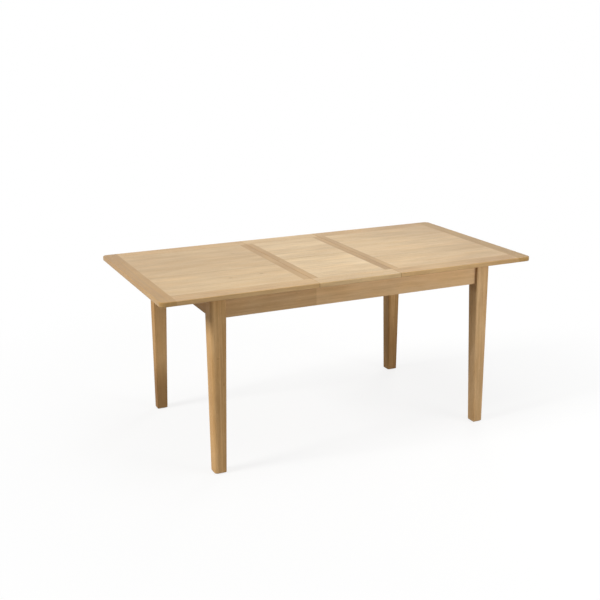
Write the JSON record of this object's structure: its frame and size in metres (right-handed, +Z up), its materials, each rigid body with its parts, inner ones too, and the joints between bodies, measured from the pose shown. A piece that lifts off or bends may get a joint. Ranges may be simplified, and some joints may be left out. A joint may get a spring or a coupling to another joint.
{
  "type": "extending dining table",
  "caption": "Rectangular oak dining table on tapered square legs, with half tops that slide apart and a folding butterfly leaf in the middle.",
  "frame": {"origin": "on the floor, under the middle of the drawn-out top", "axes": "+X along the table, +Y from the front edge to the rear edge, +Z up"},
  "size_m": [1.72, 0.87, 0.76],
  "materials": {
    "top_oak": "satin lacquered pale oak, grain along the table",
    "band_oak": "satin lacquered pale oak, grain across the table",
    "frame_oak": "satin lacquered oak",
    "inner_wood": "plain sanded hardwood",
    "steel": "zinc plated",
    "brass": "satin",
    "pad": "pressed felt",
    "glide": "matt"
  },
  "bodies": {
    "frame": {"apron_front": "frame_oak", "apron_left": "frame_oak", "apron_rear": "frame_oak", "apron_right": "frame_oak", "corner_brace_front_left": "inner_wood", "corner_brace_front_right": "inner_wood", "corner_brace_rear_left": "inner_wood", "corner_brace_rear_right": "inner_wood", "cross_rail_left": "inner_wood", "cross_rail_right": "inner_wood", "foot_glides": "glide", "guide_rail_front": "inner_wood", "guide_rail_rear": "inner_wood", "guide_rail_screws": "steel", "leaf_rest_rail": "inner_wood", "leg_bolt_nuts": "steel", "leg_bolts": "steel", "leg_front_left": "frame_oak", "leg_front_right": "frame_oak", "leg_rear_left": "frame_oak", "leg_rear_right": "frame_oak", "pivot_block_left": "inner_wood", "pivot_block_right": "inner_wood", "pivot_block_screws": "steel", "pivot_bushes": "brass", "slip_pads": "pad"},
    "leaf_front": {"leaf_batten_left": "inner_wood", "leaf_batten_right": "inner_wood", "leaf_batten_screws": "steel", "leaf_front_hinges": "brass", "leaf_front_left_band": "band_oak", "leaf_front_panel": "top_oak", "leaf_front_rail": "top_oak", "leaf_front_right_band": "band_oak", "leaf_pivot_pins": "steel"},
    "leaf_rear": {"leaf_rear_hinges": "brass", "leaf_rear_left_band": "band_oak", "leaf_rear_panel": "top_oak", "leaf_rear_rail": "top_oak", "leaf_rear_right_band": "band_oak"},
    "left_top": {"left_batten": "inner_wood", "left_batten_screws": "steel", "left_crossband": "band_oak", "left_end_board": "band_oak", "left_field_panel": "top_oak", "left_front_rail": "top_oak", "left_front_runner": "inner_wood", "left_rear_rail": "top_oak", "left_rear_runner": "inner_wood", "left_runner_screws": "steel"},
    "right_top": {"right_batten": "inner_wood", "right_batten_screws": "steel", "right_crossband": "band_oak", "right_end_board": "band_oak", "right_field_panel": "top_oak", "right_front_rail": "top_oak", "right_front_runner": "inner_wood", "right_rear_rail": "top_oak", "right_rear_runner": "inner_wood", "right_runner_screws": "steel"}
  },
  "joints": [
    {"name": "left_top_slide", "type": "slide", "parent": "frame", "child": "left_top", "axis": [-1, 0, 0], "range_m": [0, 0.03]},
    {"name": "right_top_slide", "type": "slide", "parent": "frame", "child": "right_top", "axis": [1, 0, 0], "range_m": [0, 0.03]},
    {"name": "leaf_pivot", "type": "hinge", "parent": "frame", "child": "leaf_front", "pos_m": [0, -0.10875, 0.729], "axis": [-1, 0, 0], "range_deg": [0, 90]},
    {"name": "leaf_fold", "type": "hinge", "parent": "leaf_front", "child": "leaf_rear", "pos_m": [0, 0, 0.7604], "axis": [1, 0, 0], "range_deg": [0, 180]}
  ],
  "couplings": [
    {"joint": "leaf_fold", "follows": "leaf_pivot", "ratio": 2}
  ]
}
